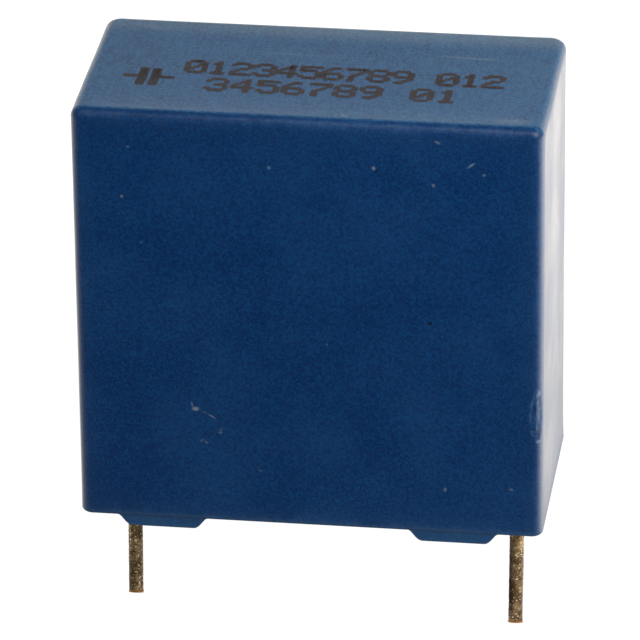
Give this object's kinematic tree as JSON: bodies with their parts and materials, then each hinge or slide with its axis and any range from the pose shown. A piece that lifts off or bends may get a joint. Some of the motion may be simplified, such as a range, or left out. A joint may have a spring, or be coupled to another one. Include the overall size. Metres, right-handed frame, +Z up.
{
  "type": "box film capacitor",
  "caption": "Film capacitor in a blue moulded plastic box, open below and sealed with epoxy, with short stand-off feet and straight wire leads for a circuit board.",
  "frame": {"origin": "midway between the two leads, on the plane that the feet stand on, which is the top of the circuit board", "axes": "+Z up, away from the board; X along the row of leads; Y from the front face to the back face; the leads point along -Z"},
  "size_m": [0.0178, 0.0088, 0.0232],
  "materials": {
    "case_plastic": "satin moulded",
    "epoxy": "cast, slightly uneven",
    "film": "metallised film, wound and pressed",
    "sprayed_metal": "rough flame-sprayed zinc",
    "print_ink": "thin dot-printed ink",
    "tinned_wire": "hot-tinned, slightly rough"
  },
  "bodies": {
    "root": {"case": "case_plastic", "potting_resin": "epoxy", "film_winding": "film", "end_spray_left": "sprayed_metal", "end_spray_right": "sprayed_metal", "lead_left": "tinned_wire", "lead_right": "tinned_wire"}
  },
  "joints": []
}
